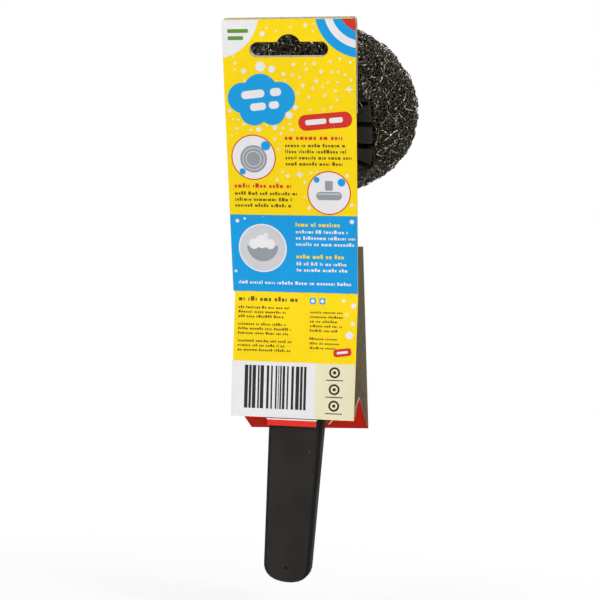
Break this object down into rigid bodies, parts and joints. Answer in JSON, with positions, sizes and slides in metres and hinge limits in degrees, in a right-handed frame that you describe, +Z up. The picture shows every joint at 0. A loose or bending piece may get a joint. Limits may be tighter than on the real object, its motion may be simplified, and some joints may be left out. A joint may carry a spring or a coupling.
{
  "type": "dish wand",
  "caption": "Dish wand with a straight handle, a tilted round steel-mesh scourer that slides off sideways behind a release lever, hanging in a folded retail card.",
  "frame": {"origin": "middle of the hang slot, on the printed face of the card's back panel", "axes": "+Z up, along the wand's handle as it hangs; -Y toward the viewer, out of the card's printed back; +X to the viewer's right"},
  "size_m": [0.0821, 0.07, 0.2338],
  "materials": {
    "card_print": "printed board, half gloss",
    "card_board": "bare grey-brown board",
    "card_red": "printed board, half gloss",
    "handle_black": "fine moulded grain",
    "spring_steel": "bright drawn",
    "lever_red": "moulded gloss",
    "refill_black": "moulded, half matt",
    "steel_mesh": "knitted flat steel wire",
    "tie_wire": "bright drawn wire"
  },
  "bodies": {
    "display_card": {"hang_card": "card_print", "header_doubler": "card_board"},
    "tongue": {"locking_tongue": "card_red"},
    "wand": {"handle_back_shell": "handle_black", "handle_front_shell": "handle_black", "catch_spring": "spring_steel", "lever_pin": "spring_steel"},
    "lever": {"release_lever": "lever_red"},
    "refill": {"slide_shoe": "refill_black", "petal_plate": "refill_black", "scourer_mesh": "steel_mesh", "mesh_tie_ring": "tie_wire", "centre_button": "refill_black"}
  },
  "joints": [
    {"name": "wand_lift", "type": "slide", "parent": "display_card", "child": "wand", "axis": [0, 0, 1], "range_m": [0, 0.16]},
    {"name": "tongue_fold", "type": "hinge", "parent": "display_card", "child": "tongue", "pos_m": [0.00573, 0.02575, -0.14903], "axis": [-0.9993, 0, -0.0384], "range_deg": [0, 85]},
    {"name": "lever_press", "type": "hinge", "parent": "wand", "child": "lever", "pos_m": [0.00681, 0.0297, -0.06063], "axis": [1, 0, 0], "range_deg": [0, 9], "stiffness_Nm_per_rad": 0.25, "springref_deg": -5.73, "deforming": ["catch_spring"]},
    {"name": "refill_slide", "type": "slide", "parent": "wand", "child": "refill", "axis": [1, 0, 0], "range_m": [0, 0.05]}
  ]
}
